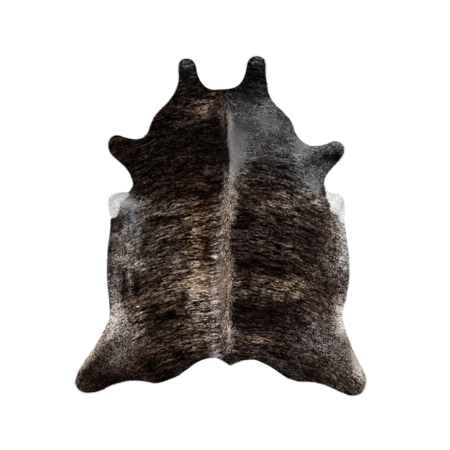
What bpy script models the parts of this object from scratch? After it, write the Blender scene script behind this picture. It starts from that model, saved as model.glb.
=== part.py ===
"""A brindle cowhide rug: one tanned skin with its short hair left on, lying flat, hair side up.

The skin and its lying hair are one closed solid. The trimmed edge is a closed curve through
short tables, one for each stretch of it. The underside is meshed inside that curve and lifts
a little where the edge doesn't lie down, and the hide is thickened upwards from it.

Metres, +Z up. The origin is on the floor under the middle of the hide, the neck points to +Y
and the tail to -Y, so +X is the right of the hide as it is seen from above.
"""

from collections import namedtuple
from math import pi, sqrt

import bmesh
import bpy
import numpy as np
from mathutils import Vector
from mathutils.geometry import delaunay_2d_cdt

NAME = "cowhide_rug"

# Thickness of the hide, skin and lying hair together
BACK_THICKNESS = 0.0060     # along the back and over the neck
BELLY_THICKNESS = 0.0045    # at the flanks, where skin and hair are thinner
RIM_THICKNESS = 0.0022      # the skin alone, where it is trimmed
HAIR_ROUNDING = 0.012       # the hair thins out to the rim over this width
BACK_HALF_WIDTH = 0.35      # the back's thickness starts to fall off here
BELLY_HALF_WIDTH = 0.85     # and has reached the belly's here

# The parting, a low crest of hair along the backbone
PARTING_RISE = 0.0018
PARTING_HALF_WIDTH = 0.028

# Fineness of the mesh
CURVE_RESOLUTION = 6        # straight pieces between two turns of the edge
RIM_STEP = 0.019            # along the rim
PARTING_STEP = 0.040        # along the parting
FIELD_STEP = 0.052          # over the rest of the hide
FIELD_CLEARANCE = 0.45      # of a field step, from the field to the rim's and parting's rows
RING_CLEARANCE = 0.85       # of the rounding, under which a point of the inner ring is dropped
INSIDE_ONLY = 1             # the triangulation keeps only what lies inside the rim
MERGE_GAP = 0.000001

HAIR_COLOUR = (0.055, 0.040, 0.032, 1.0)
HAIR_ROUGHNESS = 0.62

SOFT = "AUTO"               # the edge bends here
CORNER = "VECTOR"           # the edge has a corner here

# The trimmed edge, clockwise from the left side of the neck. A row is a place where the edge
# turns: metres across (+ right), metres along (+ to the neck), and how it turns.
Turn = namedtuple("Turn", "across along kind")

LEFT_NECK_TAB = (
    Turn(-0.282, 0.853, SOFT),
    Turn(-0.265, 0.925, SOFT),
    Turn(-0.265, 1.005, SOFT),
    Turn(-0.250, 1.040, SOFT),
    Turn(-0.214, 1.051, SOFT),
    Turn(-0.178, 1.040, SOFT),
    Turn(-0.155, 1.002, SOFT),
    Turn(-0.142, 0.945, SOFT),
    Turn(-0.114, 0.894, SOFT),
)
NAPE = (
    Turn(-0.070, 0.860, SOFT),
    Turn(-0.004, 0.858, SOFT),
    Turn(0.052, 0.862, SOFT),
    Turn(0.098, 0.876, SOFT),
)
RIGHT_NECK_TAB = (
    Turn(0.135, 0.915, SOFT),
    Turn(0.154, 0.968, SOFT),
    Turn(0.168, 1.028, SOFT),
    Turn(0.192, 1.058, SOFT),
    Turn(0.225, 1.066, SOFT),
    Turn(0.258, 1.058, SOFT),
    Turn(0.279, 1.028, SOFT),
    Turn(0.281, 0.968, SOFT),
    Turn(0.290, 0.895, SOFT),
)
RIGHT_SHOULDER = (
    Turn(0.305, 0.818, SOFT),
    Turn(0.335, 0.768, SOFT),
    Turn(0.388, 0.716, SOFT),
    Turn(0.448, 0.643, SOFT),
    Turn(0.467, 0.585, SOFT),
    Turn(0.500, 0.539, SOFT),
    Turn(0.545, 0.509, SOFT),
    Turn(0.610, 0.503, SOFT),
)
RIGHT_FORELEG = (
    Turn(0.664, 0.514, SOFT),
    Turn(0.714, 0.533, SOFT),
    Turn(0.758, 0.515, SOFT),
    Turn(0.776, 0.479, SOFT),
    Turn(0.764, 0.437, SOFT),
    Turn(0.722, 0.384, SOFT),
    Turn(0.672, 0.328, SOFT),
    Turn(0.649, 0.278, SOFT),
    Turn(0.657, 0.233, SOFT),
    Turn(0.688, 0.204, SOFT),
)
RIGHT_FLANK_CORNER = (
    Turn(0.738, 0.199, SOFT),
    Turn(0.766, 0.165, SOFT),
    Turn(0.774, 0.095, SOFT),
    Turn(0.774, 0.033, SOFT),
)
RIGHT_FLANK = (
    Turn(0.787, -0.056, SOFT),
    Turn(0.804, -0.202, SOFT),
    Turn(0.806, -0.341, SOFT),
    Turn(0.798, -0.404, SOFT),
    Turn(0.780, -0.487, SOFT),
    Turn(0.764, -0.567, SOFT),
    Turn(0.778, -0.636, SOFT),
)
RIGHT_HIND_LEG = (
    Turn(0.812, -0.735, SOFT),
    Turn(0.882, -0.887, SOFT),
    Turn(0.912, -0.960, SOFT),
    Turn(0.902, -1.020, SOFT),
    Turn(0.876, -1.056, SOFT),
    Turn(0.818, -1.068, SOFT),
    Turn(0.748, -1.044, SOFT),
    Turn(0.648, -1.000, SOFT),
)
RIGHT_RUMP = (
    Turn(0.546, -0.981, SOFT),
    Turn(0.478, -0.980, SOFT),
    Turn(0.408, -0.955, SOFT),
    Turn(0.339, -0.908, SOFT),
    Turn(0.255, -0.862, SOFT),
    Turn(0.206, -0.845, SOFT),
    Turn(0.144, -0.848, SOFT),
)
TAIL = (
    Turn(0.096, -0.863, SOFT),
    Turn(0.059, -0.882, CORNER),
    Turn(0.013, -0.851, SOFT),
    Turn(-0.028, -0.833, SOFT),
)
LEFT_RUMP = (
    Turn(-0.069, -0.836, SOFT),
    Turn(-0.134, -0.856, SOFT),
    Turn(-0.209, -0.906, SOFT),
    Turn(-0.266, -0.946, SOFT),
    Turn(-0.338, -0.976, SOFT),
    Turn(-0.409, -0.992, SOFT),
    Turn(-0.459, -0.981, SOFT),
    Turn(-0.560, -0.975, SOFT),
)
LEFT_HIND_LEG = (
    Turn(-0.618, -0.985, SOFT),
    Turn(-0.674, -1.002, SOFT),
    Turn(-0.756, -1.038, SOFT),
    Turn(-0.812, -1.050, SOFT),
    Turn(-0.878, -1.041, SOFT),
    Turn(-0.912, -0.997, SOFT),
    Turn(-0.909, -0.953, SOFT),
    Turn(-0.877, -0.883, SOFT),
    Turn(-0.787, -0.748, SOFT),
)
LEFT_FLANK = (
    Turn(-0.744, -0.677, SOFT),
    Turn(-0.711, -0.611, SOFT),
    Turn(-0.697, -0.560, SOFT),
    Turn(-0.702, -0.477, SOFT),
    Turn(-0.714, -0.338, SOFT),
    Turn(-0.714, -0.234, SOFT),
    Turn(-0.709, -0.129, SOFT),
    Turn(-0.696, -0.036, SOFT),
    Turn(-0.694, 0.058, SOFT),
)
LEFT_FLANK_CORNER = (
    Turn(-0.706, 0.131, SOFT),
    Turn(-0.695, 0.182, SOFT),
    Turn(-0.655, 0.206, SOFT),
    Turn(-0.574, 0.218, SOFT),
)
LEFT_FORELEG = (
    Turn(-0.554, 0.247, SOFT),
    Turn(-0.557, 0.287, SOFT),
    Turn(-0.588, 0.349, SOFT),
    Turn(-0.638, 0.400, SOFT),
    Turn(-0.688, 0.446, SOFT),
    Turn(-0.707, 0.488, SOFT),
    Turn(-0.702, 0.532, SOFT),
    Turn(-0.677, 0.565, SOFT),
    Turn(-0.645, 0.570, SOFT),
    Turn(-0.599, 0.556, SOFT),
    Turn(-0.542, 0.546, SOFT),
    Turn(-0.494, 0.552, SOFT),
)
LEFT_SHOULDER = (
    Turn(-0.468, 0.568, SOFT),
    Turn(-0.445, 0.626, SOFT),
    Turn(-0.406, 0.700, SOFT),
    Turn(-0.331, 0.777, SOFT),
)
EDGE = (
    LEFT_NECK_TAB + NAPE + RIGHT_NECK_TAB + RIGHT_SHOULDER + RIGHT_FORELEG
    + RIGHT_FLANK_CORNER + RIGHT_FLANK + RIGHT_HIND_LEG + RIGHT_RUMP + TAIL
    + LEFT_RUMP + LEFT_HIND_LEG + LEFT_FLANK + LEFT_FLANK_CORNER + LEFT_FORELEG
    + LEFT_SHOULDER
)

# The backbone, from the nape to the tail: metres along, and how far across it runs there
Bone = namedtuple("Bone", "along across")
BACKBONE = (
    Bone(-0.800, 0.055),
    Bone(-0.300, 0.060),
    Bone(0.030, 0.060),
    Bone(0.380, 0.066),
    Bone(0.585, 0.050),
    Bone(0.820, 0.024),
)

# Where the edge doesn't lie down: the middle of the lifted place, how far the lift reaches
# from there, and how high it is
Lift = namedtuple("Lift", "place across along reach rise")
LIFTS = (
    Lift("left neck tab", -0.215, 1.040, 0.17, 0.0050),
    Lift("right neck tab", 0.225, 1.060, 0.20, 0.0065),
    Lift("right foreleg", 0.770, 0.480, 0.20, 0.0060),
    Lift("right flank corner", 0.775, 0.130, 0.16, 0.0055),
    Lift("right flank, low", 0.810, -0.290, 0.15, 0.0030),
    Lift("right hind leg", 0.890, -1.010, 0.24, 0.0065),
    Lift("right rump", 0.400, -0.985, 0.14, 0.0025),
    Lift("tail", 0.059, -0.880, 0.10, 0.0030),
    Lift("left rump", -0.430, -1.000, 0.16, 0.0035),
    Lift("left hind leg", -0.890, -1.010, 0.22, 0.0060),
    Lift("left flank, low", -0.720, -0.300, 0.13, 0.0028),
    Lift("left flank corner", -0.705, 0.170, 0.15, 0.0045),
    Lift("left foreleg", -0.700, 0.520, 0.18, 0.0055),
)


def clear_scene():
    for obj in list(bpy.data.objects):
        bpy.data.objects.remove(obj, do_unlink=True)


def new_collection(name):
    collection = bpy.data.collections.new(name)
    bpy.context.scene.collection.children.link(collection)
    return collection


def hair_material():
    material = bpy.data.materials.new("brindle_hair_on_hide")
    material.use_nodes = True
    shader = material.node_tree.nodes["Principled BSDF"]
    shader.inputs["Base Color"].default_value = HAIR_COLOUR
    shader.inputs["Roughness"].default_value = HAIR_ROUGHNESS
    shader.inputs["Metallic"].default_value = 0.0
    return material


def ease(share):
    """0 to 1 with a soft start and a soft end, for a share from 0 to 1."""
    return 0.5 - 0.5 * np.cos(pi * np.clip(share, 0.0, 1.0))


def edge_curve():
    """The trimmed edge as a curve object, which guides the mesh and is then removed."""
    data = bpy.data.curves.new("trimmed_edge", "CURVE")
    data.dimensions = "2D"
    data.fill_mode = "NONE"
    data.resolution_u = CURVE_RESOLUTION
    spline = data.splines.new("BEZIER")
    spline.bezier_points.add(len(EDGE) - 1)
    spline.use_cyclic_u = True
    for point, turn in zip(spline.bezier_points, EDGE):
        point.co = (turn.across, turn.along, 0.0)
        point.handle_left_type = turn.kind
        point.handle_right_type = turn.kind
    curve = bpy.data.objects.new("trimmed_edge", data)
    bpy.context.scene.collection.objects.link(curve)
    return curve


def curve_points(curve):
    """The points of the evaluated curve, in order, as rows of x and y."""
    depsgraph = bpy.context.evaluated_depsgraph_get()
    mesh = bpy.data.meshes.new_from_object(curve.evaluated_get(depsgraph))
    points = np.array([vertex.co[:2] for vertex in mesh.vertices])
    bpy.data.meshes.remove(mesh)
    return points


def even_steps(points, step):
    """A closed line through the points, read at even steps of about the given length."""
    closed = np.vstack([points, points[:1]])
    lengths = np.hypot(*np.diff(closed, axis=0).T)
    travelled = np.concatenate([[0.0], np.cumsum(lengths)])
    count = round(travelled[-1] / step)
    stops = np.arange(count) * travelled[-1] / count
    across = np.interp(stops, travelled, closed[:, 0])
    along = np.interp(stops, travelled, closed[:, 1])
    return np.column_stack([across, along])


def centred(points):
    """The same points, moved so that the middle of their box is the origin."""
    return points - (points.min(axis=0) + points.max(axis=0)) / 2


def rim_distance(points, rim):
    """The distance from each point to the nearest place on the closed rim."""
    start = rim[None, :, :]
    run = (np.roll(rim, -1, axis=0) - rim)[None, :, :]
    offset = points[:, None, :] - start
    share = np.clip((offset * run).sum(axis=2) / (run ** 2).sum(axis=2), 0.0, 1.0)
    gap = offset - share[:, :, None] * run
    return np.sqrt((gap ** 2).sum(axis=2)).min(axis=1)


def inside(points, rim):
    """True for each point that lies inside the closed rim."""
    x = points[:, :1]
    y = points[:, 1:]
    x0, y0 = rim[:, 0], rim[:, 1]
    x1, y1 = np.roll(x0, -1), np.roll(y0, -1)
    straddles = (y0 > y) != (y1 > y)
    rise = np.where(y1 == y0, 1.0, y1 - y0)
    crosses = straddles & (x < x0 + (y - y0) * (x1 - x0) / rise)
    return crosses.sum(axis=1) % 2 == 1


def inner_ring(rim):
    """Points level with the rim's, set in by the width over which the hair thins out."""
    tangent = np.roll(rim, -1, axis=0) - np.roll(rim, 1, axis=0)
    tangent /= np.hypot(tangent[:, 0], tangent[:, 1])[:, None]
    inward = np.column_stack([tangent[:, 1], -tangent[:, 0]])
    ring = rim + HAIR_ROUNDING * inward
    return ring[rim_distance(ring, rim) > RING_CLEARANCE * HAIR_ROUNDING]


def backbone_across(along):
    stations = [bone.along for bone in BACKBONE]
    return np.interp(along, stations, [bone.across for bone in BACKBONE])


def parting_points():
    """The crest of the parting, and the foot of its slope on either side."""
    first, last = BACKBONE[0].along, BACKBONE[-1].along
    along = np.linspace(first, last, round((last - first) / PARTING_STEP))
    middle = backbone_across(along)
    sides = [middle - PARTING_HALF_WIDTH, middle, middle + PARTING_HALF_WIDTH]
    return np.vstack([np.column_stack([across, along]) for across in sides])


def field_points(rim):
    """Rows of points, each row half a step along from the one before, all over the hide."""
    row_gap = FIELD_STEP * sqrt(3) / 2
    low, high = rim.min(axis=0), rim.max(axis=0)
    rows = []
    for index, along in enumerate(np.arange(low[1], high[1], row_gap)):
        shift = FIELD_STEP / 2 * (index % 2)
        across = np.arange(low[0] + shift, high[0], FIELD_STEP)
        rows.append(np.column_stack([across, np.full(across.size, along)]))
    points = np.vstack(rows)
    points = points[inside(points, rim)]
    clearance = FIELD_CLEARANCE * FIELD_STEP
    clear_of_rim = rim_distance(points, rim) > HAIR_ROUNDING + clearance
    beside = np.abs(points[:, 0] - backbone_across(points[:, 1]))
    clear_of_parting = beside > PARTING_HALF_WIDTH + clearance
    past_parting = (points[:, 1] > BACKBONE[-1].along) | (points[:, 1] < BACKBONE[0].along)
    return points[clear_of_rim & (clear_of_parting | past_parting)]


def lift_height(points):
    """How high the underside stands above the floor: nowhere but at the lifted edges."""
    height = np.zeros(len(points))
    for lift in LIFTS:
        distance = np.hypot(points[:, 0] - lift.across, points[:, 1] - lift.along)
        height = np.maximum(height, lift.rise * ease(1.0 - distance / lift.reach))
    return height


def hide_thickness(points, rim):
    """Skin and hair: thick over the back, crested at the parting, thin at belly and rim."""
    beside = np.abs(points[:, 0] - backbone_across(points[:, 1]))
    to_belly = (beside - BACK_HALF_WIDTH) / (BELLY_HALF_WIDTH - BACK_HALF_WIDTH)
    thickness = BACK_THICKNESS + (BELLY_THICKNESS - BACK_THICKNESS) * ease(to_belly)
    thickness += PARTING_RISE * ease(1.0 - beside / PARTING_HALF_WIDTH)
    from_rim = ease(rim_distance(points, rim) / HAIR_ROUNDING)
    return RIM_THICKNESS + (thickness - RIM_THICKNESS) * from_rim


def underside_mesh(rim):
    """The hide's underside, triangulated inside the rim, with its lifted edges."""
    inner = np.vstack([inner_ring(rim), parting_points(), field_points(rim)])
    flat = [Vector(point) for point in np.vstack([rim, inner])]
    rim_face = list(range(len(rim)))
    points, _, faces, *_ = delaunay_2d_cdt(flat, [], [rim_face], INSIDE_ONLY, MERGE_GAP)
    places = np.array(points)
    heights = lift_height(places)
    mesh = bpy.data.meshes.new("hide")
    mesh.from_pydata([(x, y, z) for (x, y), z in zip(places, heights)], [], faces)
    return mesh


def face_up(mesh):
    """Turns the sheet over if its faces look down, so that it thickens upwards."""
    sheet = bmesh.new()
    sheet.from_mesh(mesh)
    down = [face for face in sheet.faces if face.normal.z < 0.0]
    bmesh.ops.reverse_faces(sheet, faces=down)
    sheet.to_mesh(mesh)
    sheet.free()


def make_hide(collection):
    guide = edge_curve()
    rim = centred(even_steps(curve_points(guide), RIM_STEP))
    bpy.data.objects.remove(guide, do_unlink=True)

    mesh = underside_mesh(rim)
    face_up(mesh)
    mesh.materials.append(hair_material())
    hide = bpy.data.objects.new("hide", mesh)
    collection.objects.link(hide)

    places = np.array([vertex.co[:2] for vertex in mesh.vertices])
    full_thickness = BACK_THICKNESS + PARTING_RISE
    shares = hide_thickness(places, rim) / full_thickness
    group = hide.vertex_groups.new(name="thickness")
    for index, share in enumerate(shares):
        group.add([index], float(share), "REPLACE")

    solidify = hide.modifiers.new("skin_and_hair", "SOLIDIFY")
    solidify.thickness = full_thickness
    solidify.offset = 1.0
    solidify.vertex_group = group.name
    return hide


def main():
    clear_scene()
    make_hide(new_collection(NAME))


main()
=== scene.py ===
"""The looks of the brindle cowhide rug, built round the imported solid.

The solid is replaced by the skin, a thin closed sheet with a suede underside, and by its coat:
short locks of hair that lie along the hair's flow, each a tapered ribbon. The coat's markings
come from short tables of soft patches, and the streaks and flecks in them from noise that
follows the flow. Metres, +Z up, the neck towards +Y.
"""

from collections import namedtuple
from math import pi, radians

import bmesh
import bpy
import numpy as np
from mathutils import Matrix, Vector
from mathutils.bvhtree import BVHTree
from mathutils.geometry import delaunay_2d_cdt


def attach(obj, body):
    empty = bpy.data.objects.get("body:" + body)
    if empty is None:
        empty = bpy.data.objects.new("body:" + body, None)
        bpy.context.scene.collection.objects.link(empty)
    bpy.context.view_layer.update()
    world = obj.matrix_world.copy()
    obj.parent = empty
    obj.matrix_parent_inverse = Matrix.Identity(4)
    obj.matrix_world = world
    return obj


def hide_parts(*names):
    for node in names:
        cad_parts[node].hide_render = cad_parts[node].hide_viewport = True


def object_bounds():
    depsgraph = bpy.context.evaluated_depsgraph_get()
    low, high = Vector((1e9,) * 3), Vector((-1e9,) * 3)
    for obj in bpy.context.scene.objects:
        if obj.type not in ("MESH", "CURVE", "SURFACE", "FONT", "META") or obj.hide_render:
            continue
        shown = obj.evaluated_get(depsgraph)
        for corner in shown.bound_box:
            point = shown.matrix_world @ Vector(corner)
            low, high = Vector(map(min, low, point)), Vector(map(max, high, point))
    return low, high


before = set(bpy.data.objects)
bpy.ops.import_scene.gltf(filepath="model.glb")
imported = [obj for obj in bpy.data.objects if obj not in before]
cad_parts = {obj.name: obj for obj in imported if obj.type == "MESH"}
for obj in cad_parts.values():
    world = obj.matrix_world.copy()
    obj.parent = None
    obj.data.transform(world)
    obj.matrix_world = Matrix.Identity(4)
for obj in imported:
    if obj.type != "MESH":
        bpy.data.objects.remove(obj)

CAD_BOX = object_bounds()
SEED = 20

# ------------------------ sizes

PIXEL = 0.00628                 # metres on the floor for a pixel of the photograph
PHOTO_SIDE = 450                # pixels
HIDE_CENTRE_PIXEL = (220.65, 225.7)

SKIN_THICKNESS = 0.0022
SKIN_INSET = 0.0030             # the hair reaches this far past the skin's cut edge
SKIN_STEP = 0.014               # between the points of the skin's field
SKIN_ROW_SHARE = 0.866          # of that step between its rows
SKIN_EDGE_SHARE = 0.55          # of that step kept free along its edge
RIM_STEP = 0.006                # between the points of its edge
RIM_SMOOTHINGS = 2
LYING_FLAT = 0.5                # a face lies flat where its normal's z is further from 0

LOCK_PITCH = 0.00382            # one lock in each square of this side
LOCK_CLEARANCE = 0.0010         # least distance from a root to the skin's edge
LOCK_LENGTH, LOCK_LENGTHS = 0.0195, (0.7, 1.3)      # and the range of its shares
LOCK_WIDTH, LOCK_WIDTHS = 0.0027, (0.65, 1.25)
LOCK_RISES = (0.72, 1.12)       # how high locks stand, as shares of the coat's depth
LOCK_TURN, MOTTLED_TURN = 0.13, 0.6     # radians off the flow; more by this share if mottled
LOCK_ROLL = 0.30                # radians about its own length
LOCK_BOW, TIP_BOW = 0.07, 0.6   # share of its length that it bows; share of that at its tip
LEG_LENGTH_SHARE = 0.72         # hair on legs and neck tabs is shorter
LEG_START, LEG_FADE = 0.5, 0.3  # where that begins, off the parting, and how soon it is full
OVERHANG = 0.0035               # most that a lock's tip may pass the solid's outline
OVERHANG_LEAST, OVERHANG_POWER = 0.1, 1.3       # how that most differs between the locks
TRIMS, TRIM_SHARE = 5, 0.82     # locks that pass it are cut to this share so many times
ROWS = (0.0, 0.34, 0.70, 1.0)   # shares of a lock's length at which it has points
ROW_WIDTHS = (0.55, 1.0, 0.74)  # shares of its width there; the last row is the tip
ROW_HEIGHTS = (0.0, 0.52, 0.86, 0.80)   # shares of the coat's depth there
COAT_NAMES = ("neck_and_shoulders", "foreribs", "barrel", "loin", "rump_and_hind_legs")

HEIGHT_STEP = 0.012             # grid on which the solid's heights are read
HEIGHT_MARGIN = 3               # cells of it on each side of the solid
LEAST_COAT = 0.0012             # depth of the coat at the very edge


# ------------------------ small tools

def ease(share):
    """0 to 1 with a soft start and end."""
    share = np.clip(share, 0.0, 1.0)
    return share * share * (3.0 - 2.0 * share)


def between(grid, left, right, low, high, share):
    """What the grid holds inside its cells, by the share of the way across and along them."""
    below = grid[left, low] * (1 - share[:, 0]) + grid[right, low] * share[:, 0]
    above = grid[left, high] * (1 - share[:, 0]) + grid[right, high] * share[:, 0]
    return below * (1 - share[:, 1]) + above * share[:, 1]


# A soft random field: the size of its bumps, its reach to both sides of 0, and its seed
Wave = namedtuple("Wave", "size reach seed")


def soft_noise(points, wave, axis=0):
    """The wave at each point; its axes are waves of their own."""
    count = 257
    random = np.random.default_rng(SEED + wave.seed + axis)
    lattice = random.uniform(-1.0, 1.0, (count, count))
    cells = points / wave.size + 1000.0     # keeps them above 0
    corner = np.floor(cells).astype(int)
    share = cells - corner
    share = share * share * (3.0 - 2.0 * share)
    left, right = corner[:, 0] % count, (corner[:, 0] + 1) % count
    low, high = corner[:, 1] % count, (corner[:, 1] + 1) % count
    return wave.reach * between(lattice, left, right, low, high, share)


def wavered(values, points, waves):
    """The values, moved by all the waves at their points."""
    for wave in waves:
        values = values + soft_noise(points, wave)
    return values


def soft_shift(points, wave):
    """The points, each moved by the wave across and along, its neighbours along with it."""
    return points + np.column_stack([soft_noise(points, wave, axis) for axis in range(2)])


def rows_of(kind, rows):
    return [kind(*row) for row in rows]


def batches(points, size):
    """Indices that take the points in turn, about so many at once."""
    return np.array_split(np.arange(len(points)), len(points) // size + 1)


def rim_distance(points, rim):
    """The distance from each point to the nearest place on the closed rim."""
    start = rim[None, :, :]
    run = (np.roll(rim, -1, axis=0) - rim)[None, :, :]
    nearest = np.empty(len(points))
    for part in batches(points, 4000):
        offset = points[part, None, :] - start
        share = np.clip((offset * run).sum(axis=2) / (run ** 2).sum(axis=2), 0.0, 1.0)
        gap = offset - share[:, :, None] * run
        nearest[part] = np.sqrt((gap ** 2).sum(axis=2).min(axis=1))
    return nearest


def inside(points, rim):
    """True for each point that lies inside the closed rim."""
    x0, y0 = rim[:, 0], rim[:, 1]
    x1, y1 = np.roll(x0, -1), np.roll(y0, -1)
    rise = np.where(y1 == y0, 1.0, y1 - y0)
    result = np.empty(len(points), bool)
    for part in batches(points, 20000):
        x, y = points[part, :1], points[part, 1:]
        crosses = ((y0 > y) != (y1 > y)) & (x < x0 + (y - y0) * (x1 - x0) / rise)
        result[part] = crosses.sum(axis=1) % 2 == 1
    return result


# ------------------------ the solid's shape

def clean_solid():
    """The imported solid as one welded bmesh."""
    solid = bmesh.new()
    solid.from_mesh(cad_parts["hide"].data)
    bmesh.ops.remove_doubles(solid, verts=solid.verts, dist=0.00001)
    solid.normal_update()
    return solid


def outline(solid):
    """The solid's trimmed edge as a closed line, clockwise or not as it comes."""
    under = {face for face in solid.faces if face.normal.z < -LYING_FLAT}
    neighbours = {}
    for edge in solid.edges:
        if sum(face in under for face in edge.link_faces) == 1:
            for here, there in (edge.verts, reversed(edge.verts)):
                neighbours.setdefault(here, []).append(there)
    start = next(iter(neighbours))
    loop, before, here = [], None, start
    while True:
        loop.append(here.co[:2])
        after = next(vert for vert in neighbours[here] if vert is not before)
        before, here = here, after
        if here is start:
            return np.array(loop)


def even_steps(points, step):
    """A closed line through the points, read at even steps of about the given length."""
    closed = np.vstack([points, points[:1]])
    travelled = np.concatenate([[0.0], np.cumsum(np.hypot(*np.diff(closed, axis=0).T))])
    count = round(travelled[-1] / step)
    stops = np.arange(count) * travelled[-1] / count
    across = np.interp(stops, travelled, closed[:, 0])
    along = np.interp(stops, travelled, closed[:, 1])
    return np.column_stack([across, along])


def rounded(points, passes):
    """A closed line with its small corners worn off."""
    for _ in range(passes):
        points = (np.roll(points, 1, axis=0) + 2 * points + np.roll(points, -1, axis=0)) / 4
    return points


def inset(rim, distance):
    """The closed line moved inwards."""
    tangent = np.roll(rim, -1, axis=0) - np.roll(rim, 1, axis=0)
    tangent /= np.hypot(tangent[:, 0], tangent[:, 1])[:, None]
    side = np.column_stack([tangent[:, 1], -tangent[:, 0]])
    probe = rim[:1] + 0.002 * side[:1]
    if not inside(probe, rim)[0]:
        side = -side
    return rim + distance * side


class Heights:
    """Heights of the solid's underside and top, read once on a grid and then anywhere."""

    def __init__(self, solid):
        tree = BVHTree.FromBMesh(solid)
        low, high = (np.array(corner[:2]) for corner in CAD_BOX)
        self.start = low - HEIGHT_MARGIN * HEIGHT_STEP
        self.count = np.ceil((high - low) / HEIGHT_STEP).astype(int) + 2 * HEIGHT_MARGIN + 1
        self.under = np.zeros(self.count)
        self.top = np.zeros(self.count)
        up, down = Vector((0, 0, 1)), Vector((0, 0, -1))
        for column, row in np.ndindex(*self.count):
            across, along = self.start + HEIGHT_STEP * np.array([column, row])
            beneath = tree.ray_cast(Vector((across, along, -1.0)), up)[0]
            above = tree.ray_cast(Vector((across, along, 1.0)), down)[0]
            if beneath is None or above is None:
                beneath = above = tree.find_nearest(Vector((across, along, 0.0)))[0]
            self.under[column, row] = beneath.z
            self.top[column, row] = above.z

    def read(self, grid, points):
        """A height at each point, between those of the grid's four corners round it."""
        cells = (points - self.start) / HEIGHT_STEP
        cells = np.clip(cells, 0.0, np.array(self.count) - 1.001)
        corner = np.floor(cells).astype(int)
        share = cells - corner
        i, j = corner.T
        return between(grid, i, i + 1, j, j + 1, share)

    def underside(self, points):
        return self.read(self.under, points)

    def coat_depth(self, points):
        """From the skin's hair side up to the solid's top."""
        depth = self.read(self.top, points) - self.read(self.under, points)
        return np.maximum(depth - SKIN_THICKNESS, LEAST_COAT)


# ------------------------ the hair's flow

# The line down the back from which the hair leaves to both sides
Bone = namedtuple("Bone", "along across")
PARTING = rows_of(Bone, (
    (-0.880, 0.056),
    (-0.300, 0.052),
    (0.050, 0.052),
    (0.250, 0.066),
    (0.500, 0.072),
    (0.700, 0.060),
    (0.860, 0.036),
))

# How the hair leaves that line on each side: it starts down the back, turns outwards within
# the reach, then drops towards the tail by the slope, and past the flank ever more steeply
Fall = namedtuple("Fall", "drop reach slope flank flank_slope")
LEFT_FALL = Fall(0.055, 0.050, 0.06, 0.18, 0.60)
RIGHT_FALL = Fall(0.022, 0.025, 0.02, 0.08, 0.50)

# Where the hair turns off that course, by degrees to the left
Bend = namedtuple("Bend", "place across along reach turn")
BENDS = (
    Bend("left hind leg", -0.80, -0.92, 0.30, 14),
    Bend("right hind leg", 0.82, -0.92, 0.30, -24),
    Bend("left foreleg", -0.62, 0.46, 0.16, -18),
    Bend("right foreleg", 0.70, 0.46, 0.16, 22),
    Bend("left neck tab", -0.21, 0.98, 0.16, 35),
    Bend("right neck tab", 0.22, 0.98, 0.16, -35),
)
BEND_END = 1.25                 # share of its reach at which a bend ends
CREST_LAY = 0.030               # nearer to the parting than this the hair lies down the back
ANGLE_WAVES = (Wave(0.110, 0.20, 0), Wave(0.030, 0.14, 1))          # radians
STREAK_WAVES = (Wave(0.130, 0.013, 2), Wave(0.050, 0.0060, 3))      # metres


def table(along, rows, name):
    """A column of a table of places down the back, read between its rows."""
    rows = sorted(rows, key=lambda row: row.along)
    return np.interp(along, [row.along for row in rows], [getattr(row, name) for row in rows])


def off_parting(points):
    """How far each point lies to the right of the parting."""
    return points[:, 0] - table(points[:, 1], PARTING, "across")


def fall_of(away, fall):
    """How far the hair has dropped by that distance from the parting, and how steeply."""
    past = np.maximum(away - fall.flank, 0.0)
    turn = np.exp(-away / fall.reach)
    drop = fall.drop * (1 - turn) + fall.slope * away + fall.flank_slope * past ** 2
    steepness = fall.drop / fall.reach * turn + fall.slope + 2 * fall.flank_slope * past
    return drop, steepness


def hair_flow(points):
    """The way the hair lies at each point, and the streaks' coordinates there."""
    off = off_parting(points)
    away = np.abs(off)
    left_drop, left_steepness = fall_of(away, LEFT_FALL)
    right_drop, right_steepness = fall_of(away, RIGHT_FALL)
    drop = np.where(off < 0, left_drop, right_drop)
    steepness = np.where(off < 0, left_steepness, right_steepness)
    angle = np.where(off < 0, pi + np.arctan(steepness), -np.arctan(steepness))
    crest = ease(1.0 - away / CREST_LAY)
    angle += (1.5 * pi - np.where(off < 0, angle, angle + 2 * pi)) * crest
    for bend in BENDS:
        distance = np.hypot(points[:, 0] - bend.across, points[:, 1] - bend.along)
        angle += radians(bend.turn) * ease(BEND_END - distance / bend.reach)
    angle += wavered(0.0, points, ANGLE_WAVES)
    across_streaks = wavered(points[:, 1] + drop, points, STREAK_WAVES)
    return angle, np.column_stack([across_streaks, off])
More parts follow.
